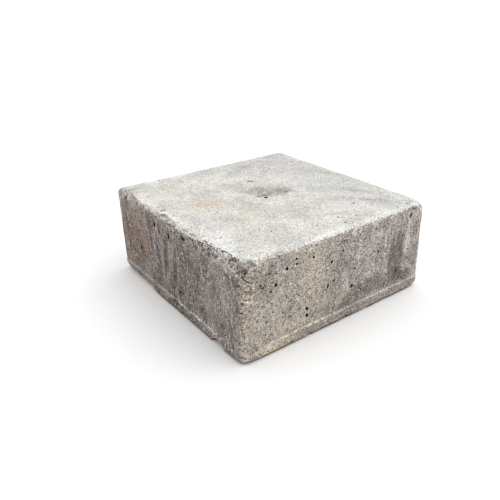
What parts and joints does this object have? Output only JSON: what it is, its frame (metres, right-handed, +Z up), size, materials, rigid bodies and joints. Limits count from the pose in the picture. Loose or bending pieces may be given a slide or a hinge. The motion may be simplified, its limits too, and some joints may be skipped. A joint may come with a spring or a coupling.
{
  "type": "column base block",
  "caption": "Low square block of weathered cast concrete with rounded, chipped edges and a shallow dish in its top, for a column or post to stand on.",
  "frame": {"origin": "centre of the bounding box's underside, on the surface that the block stands on", "axes": "+Z up; the two sides seen in the picture face -X (the darker one, ragged along its top edge) and -Y; the broken corner stands at -X, -Y"},
  "size_m": [0.3, 0.3, 0.125],
  "materials": {
    "weathered_concrete": "rough weathered cast concrete, bleached on top, grey-brown and streaked on the sides"
  },
  "bodies": {
    "root": {"concrete_block": "weathered_concrete"}
  },
  "joints": []
}
